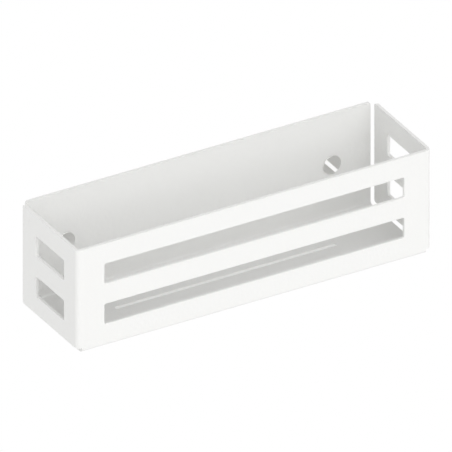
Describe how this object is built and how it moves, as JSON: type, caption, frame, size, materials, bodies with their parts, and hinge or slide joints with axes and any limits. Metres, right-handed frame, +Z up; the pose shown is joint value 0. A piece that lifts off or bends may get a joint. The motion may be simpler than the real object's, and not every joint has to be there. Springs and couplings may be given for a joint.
{
  "type": "cable tray",
  "caption": "Open folded-steel cable tray for a desk, with long openings in the front, openings in the sides, a slotted floor and magnets set in the back.",
  "frame": {"origin": "on the underside, at the middle of the tray's length and depth", "axes": "+X along the tray to its right end seen from the front, +Y to the back wall, +Z up"},
  "size_m": [0.24, 0.0676, 0.07],
  "materials": {
    "powder_coat": "fine matt white powder coat on folded steel",
    "nickel_plate": "mirror-bright nickel plating on a magnet"
  },
  "bodies": {
    "root": {"folded_tray": "powder_coat", "magnet_left": "nickel_plate", "magnet_right": "nickel_plate"}
  },
  "joints": []
}
